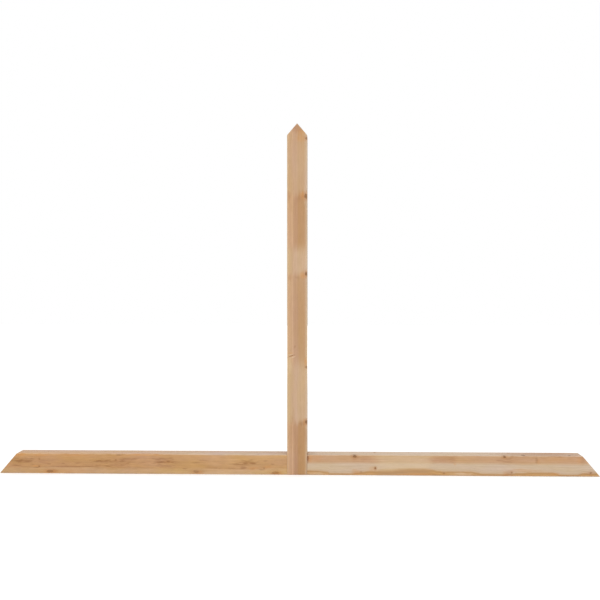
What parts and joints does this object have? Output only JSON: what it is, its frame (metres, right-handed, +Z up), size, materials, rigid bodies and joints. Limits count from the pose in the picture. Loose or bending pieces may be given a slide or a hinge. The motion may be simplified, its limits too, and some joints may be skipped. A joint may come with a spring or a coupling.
{
  "type": "timber gable bracket",
  "caption": "Plain timber gable bracket: an upright king post with a pointed top, set between the halves of a bottom tie beam whose tips are cut to the roof slope.",
  "frame": {"origin": "middle of the bottom face, under the king post, halfway through the timber's depth", "axes": "+X along the beam to the right as seen from the front, +Y from the front face to the back face, +Z up along the king post"},
  "size_m": [1.524, 0.0508, 0.889],
  "materials": {
    "post_timber": "planed softwood, tan, unfinished",
    "left_beam_timber": "planed softwood, orange-brown heartwood, unfinished",
    "right_beam_timber": "planed softwood, pale sapwood with a tan band, unfinished",
    "dowel_wood": "turned hardwood, unfinished"
  },
  "bodies": {
    "root": {"king_post": "post_timber", "left_beam": "left_beam_timber", "right_beam": "right_beam_timber", "upper_dowel": "dowel_wood", "lower_dowel": "dowel_wood"}
  },
  "joints": []
}
